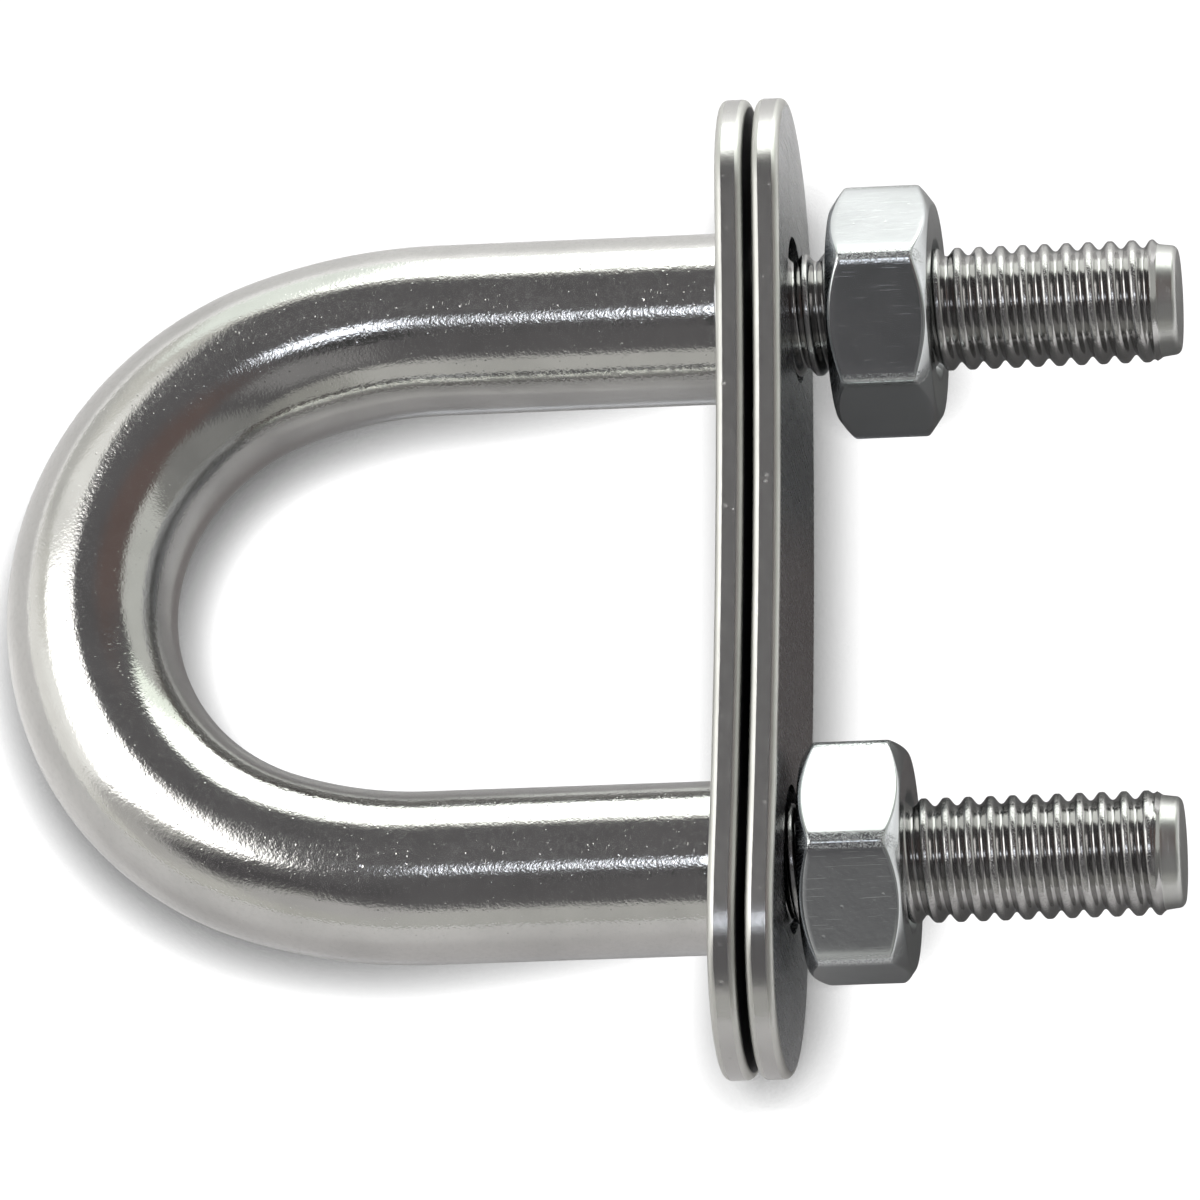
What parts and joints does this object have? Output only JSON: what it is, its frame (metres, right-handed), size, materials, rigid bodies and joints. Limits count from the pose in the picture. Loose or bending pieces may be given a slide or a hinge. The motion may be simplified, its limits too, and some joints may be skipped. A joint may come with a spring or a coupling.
{
  "type": "bow eye",
  "caption": "Stainless steel U-bolt eye for a boat's bow: a bent round bar with threaded studs, bowed oval plates and hexagon nuts.",
  "frame": {"origin": "halfway between the two studs, in the plane of the bar's shoulders that the face plate bears on", "axes": "+X along the studs, from the eye through the hull; +Y from one stud to the other; +Z square to the plane of the eye"},
  "size_m": [0.0673, 0.0586, 0.0164],
  "materials": {
    "bar": "polished, scratched",
    "plates": "polished faces, sheared and ground edges",
    "nuts": "cold formed, bright"
  },
  "bodies": {
    "eye": {"u_bolt": "bar", "face_plate": "plates", "backing_plate": "plates"},
    "upper_nut": {"upper_nut": "nuts"},
    "lower_nut": {"lower_nut": "nuts"}
  },
  "joints": [
    {"name": "upper_nut_travel", "type": "slide", "parent": "eye", "child": "upper_nut", "axis": [1, 0, 0], "range_m": [-0.00208, 0.0124]},
    {"name": "lower_nut_travel", "type": "slide", "parent": "eye", "child": "lower_nut", "axis": [1, 0, 0], "range_m": [-0.00063, 0.0138]}
  ]
}
